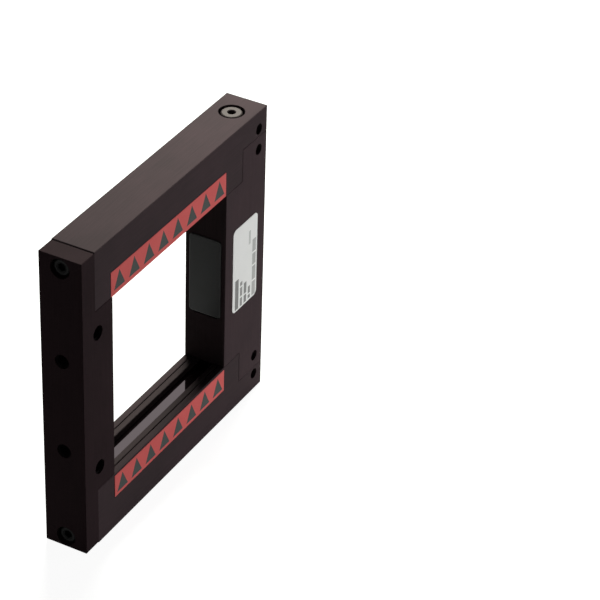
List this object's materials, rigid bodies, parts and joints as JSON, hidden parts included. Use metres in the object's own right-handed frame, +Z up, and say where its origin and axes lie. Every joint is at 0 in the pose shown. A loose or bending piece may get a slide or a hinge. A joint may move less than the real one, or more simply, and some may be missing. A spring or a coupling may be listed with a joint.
{
  "type": "optical window sensor",
  "caption": "Flat square-framed optical window sensor in black anodised aluminium, with slotted light beams, arrow strips, a flush plug socket and bolt holes, for sensing parts in its window.",
  "frame": {"origin": "middle of the bottom face, where the frame stands", "axes": "+X along the length, from the solid column to the electronics column; +Y from the labelled front to the back; +Z up, the way the arrows point and the light travels"},
  "size_m": [0.13, 0.0182, 0.13],
  "materials": {
    "dark_anodised": "milled, black anodised, satin",
    "black_anodised": "milled, black anodised, satin",
    "window": "smoked acrylic, polished",
    "board": "solder resist on glass laminate",
    "led": "clear epoxy lens",
    "diode": "dark epoxy",
    "chip": "moulded epoxy",
    "header": "moulded nylon",
    "lead": "soft sheath",
    "cover": "moulded, satin",
    "seal": "moulded",
    "plated_brass": "nickel plated, turned",
    "insert": "moulded",
    "gold_contact": "gold plated",
    "black_steel": "black oxide",
    "zinc_steel": "bright zinc plated",
    "red_foil": "printed polyester foil",
    "arrow_ink": "printed polyester foil",
    "label": "white polyester label"
  },
  "bodies": {
    "root": {"left_column": "dark_anodised", "right_column": "black_anodised", "bottom_beam": "black_anodised", "top_beam": "black_anodised", "bottom_optics_carrier": "black_anodised", "top_optics_carrier": "black_anodised", "bottom_window": "window", "top_window": "window", "emitter_board": "board", "receiver_board": "board", "control_board": "board", "emitter_leds": "led", "receiver_diodes": "diode", "controller_chip": "chip", "lead_headers": "header", "emitter_lead": "lead", "receiver_lead": "lead", "service_cover": "cover", "cover_gasket": "seal", "connector_sleeve": "plated_brass", "connector_seal": "seal", "connector_insert": "insert", "connector_pins": "gold_contact", "end_screws": "black_steel", "corner_screws": "zinc_steel", "top_arrow_strip": "red_foil", "bottom_arrow_strip": "red_foil", "arrow_marks": "arrow_ink", "rating_label": "label"}
  },
  "joints": []
}
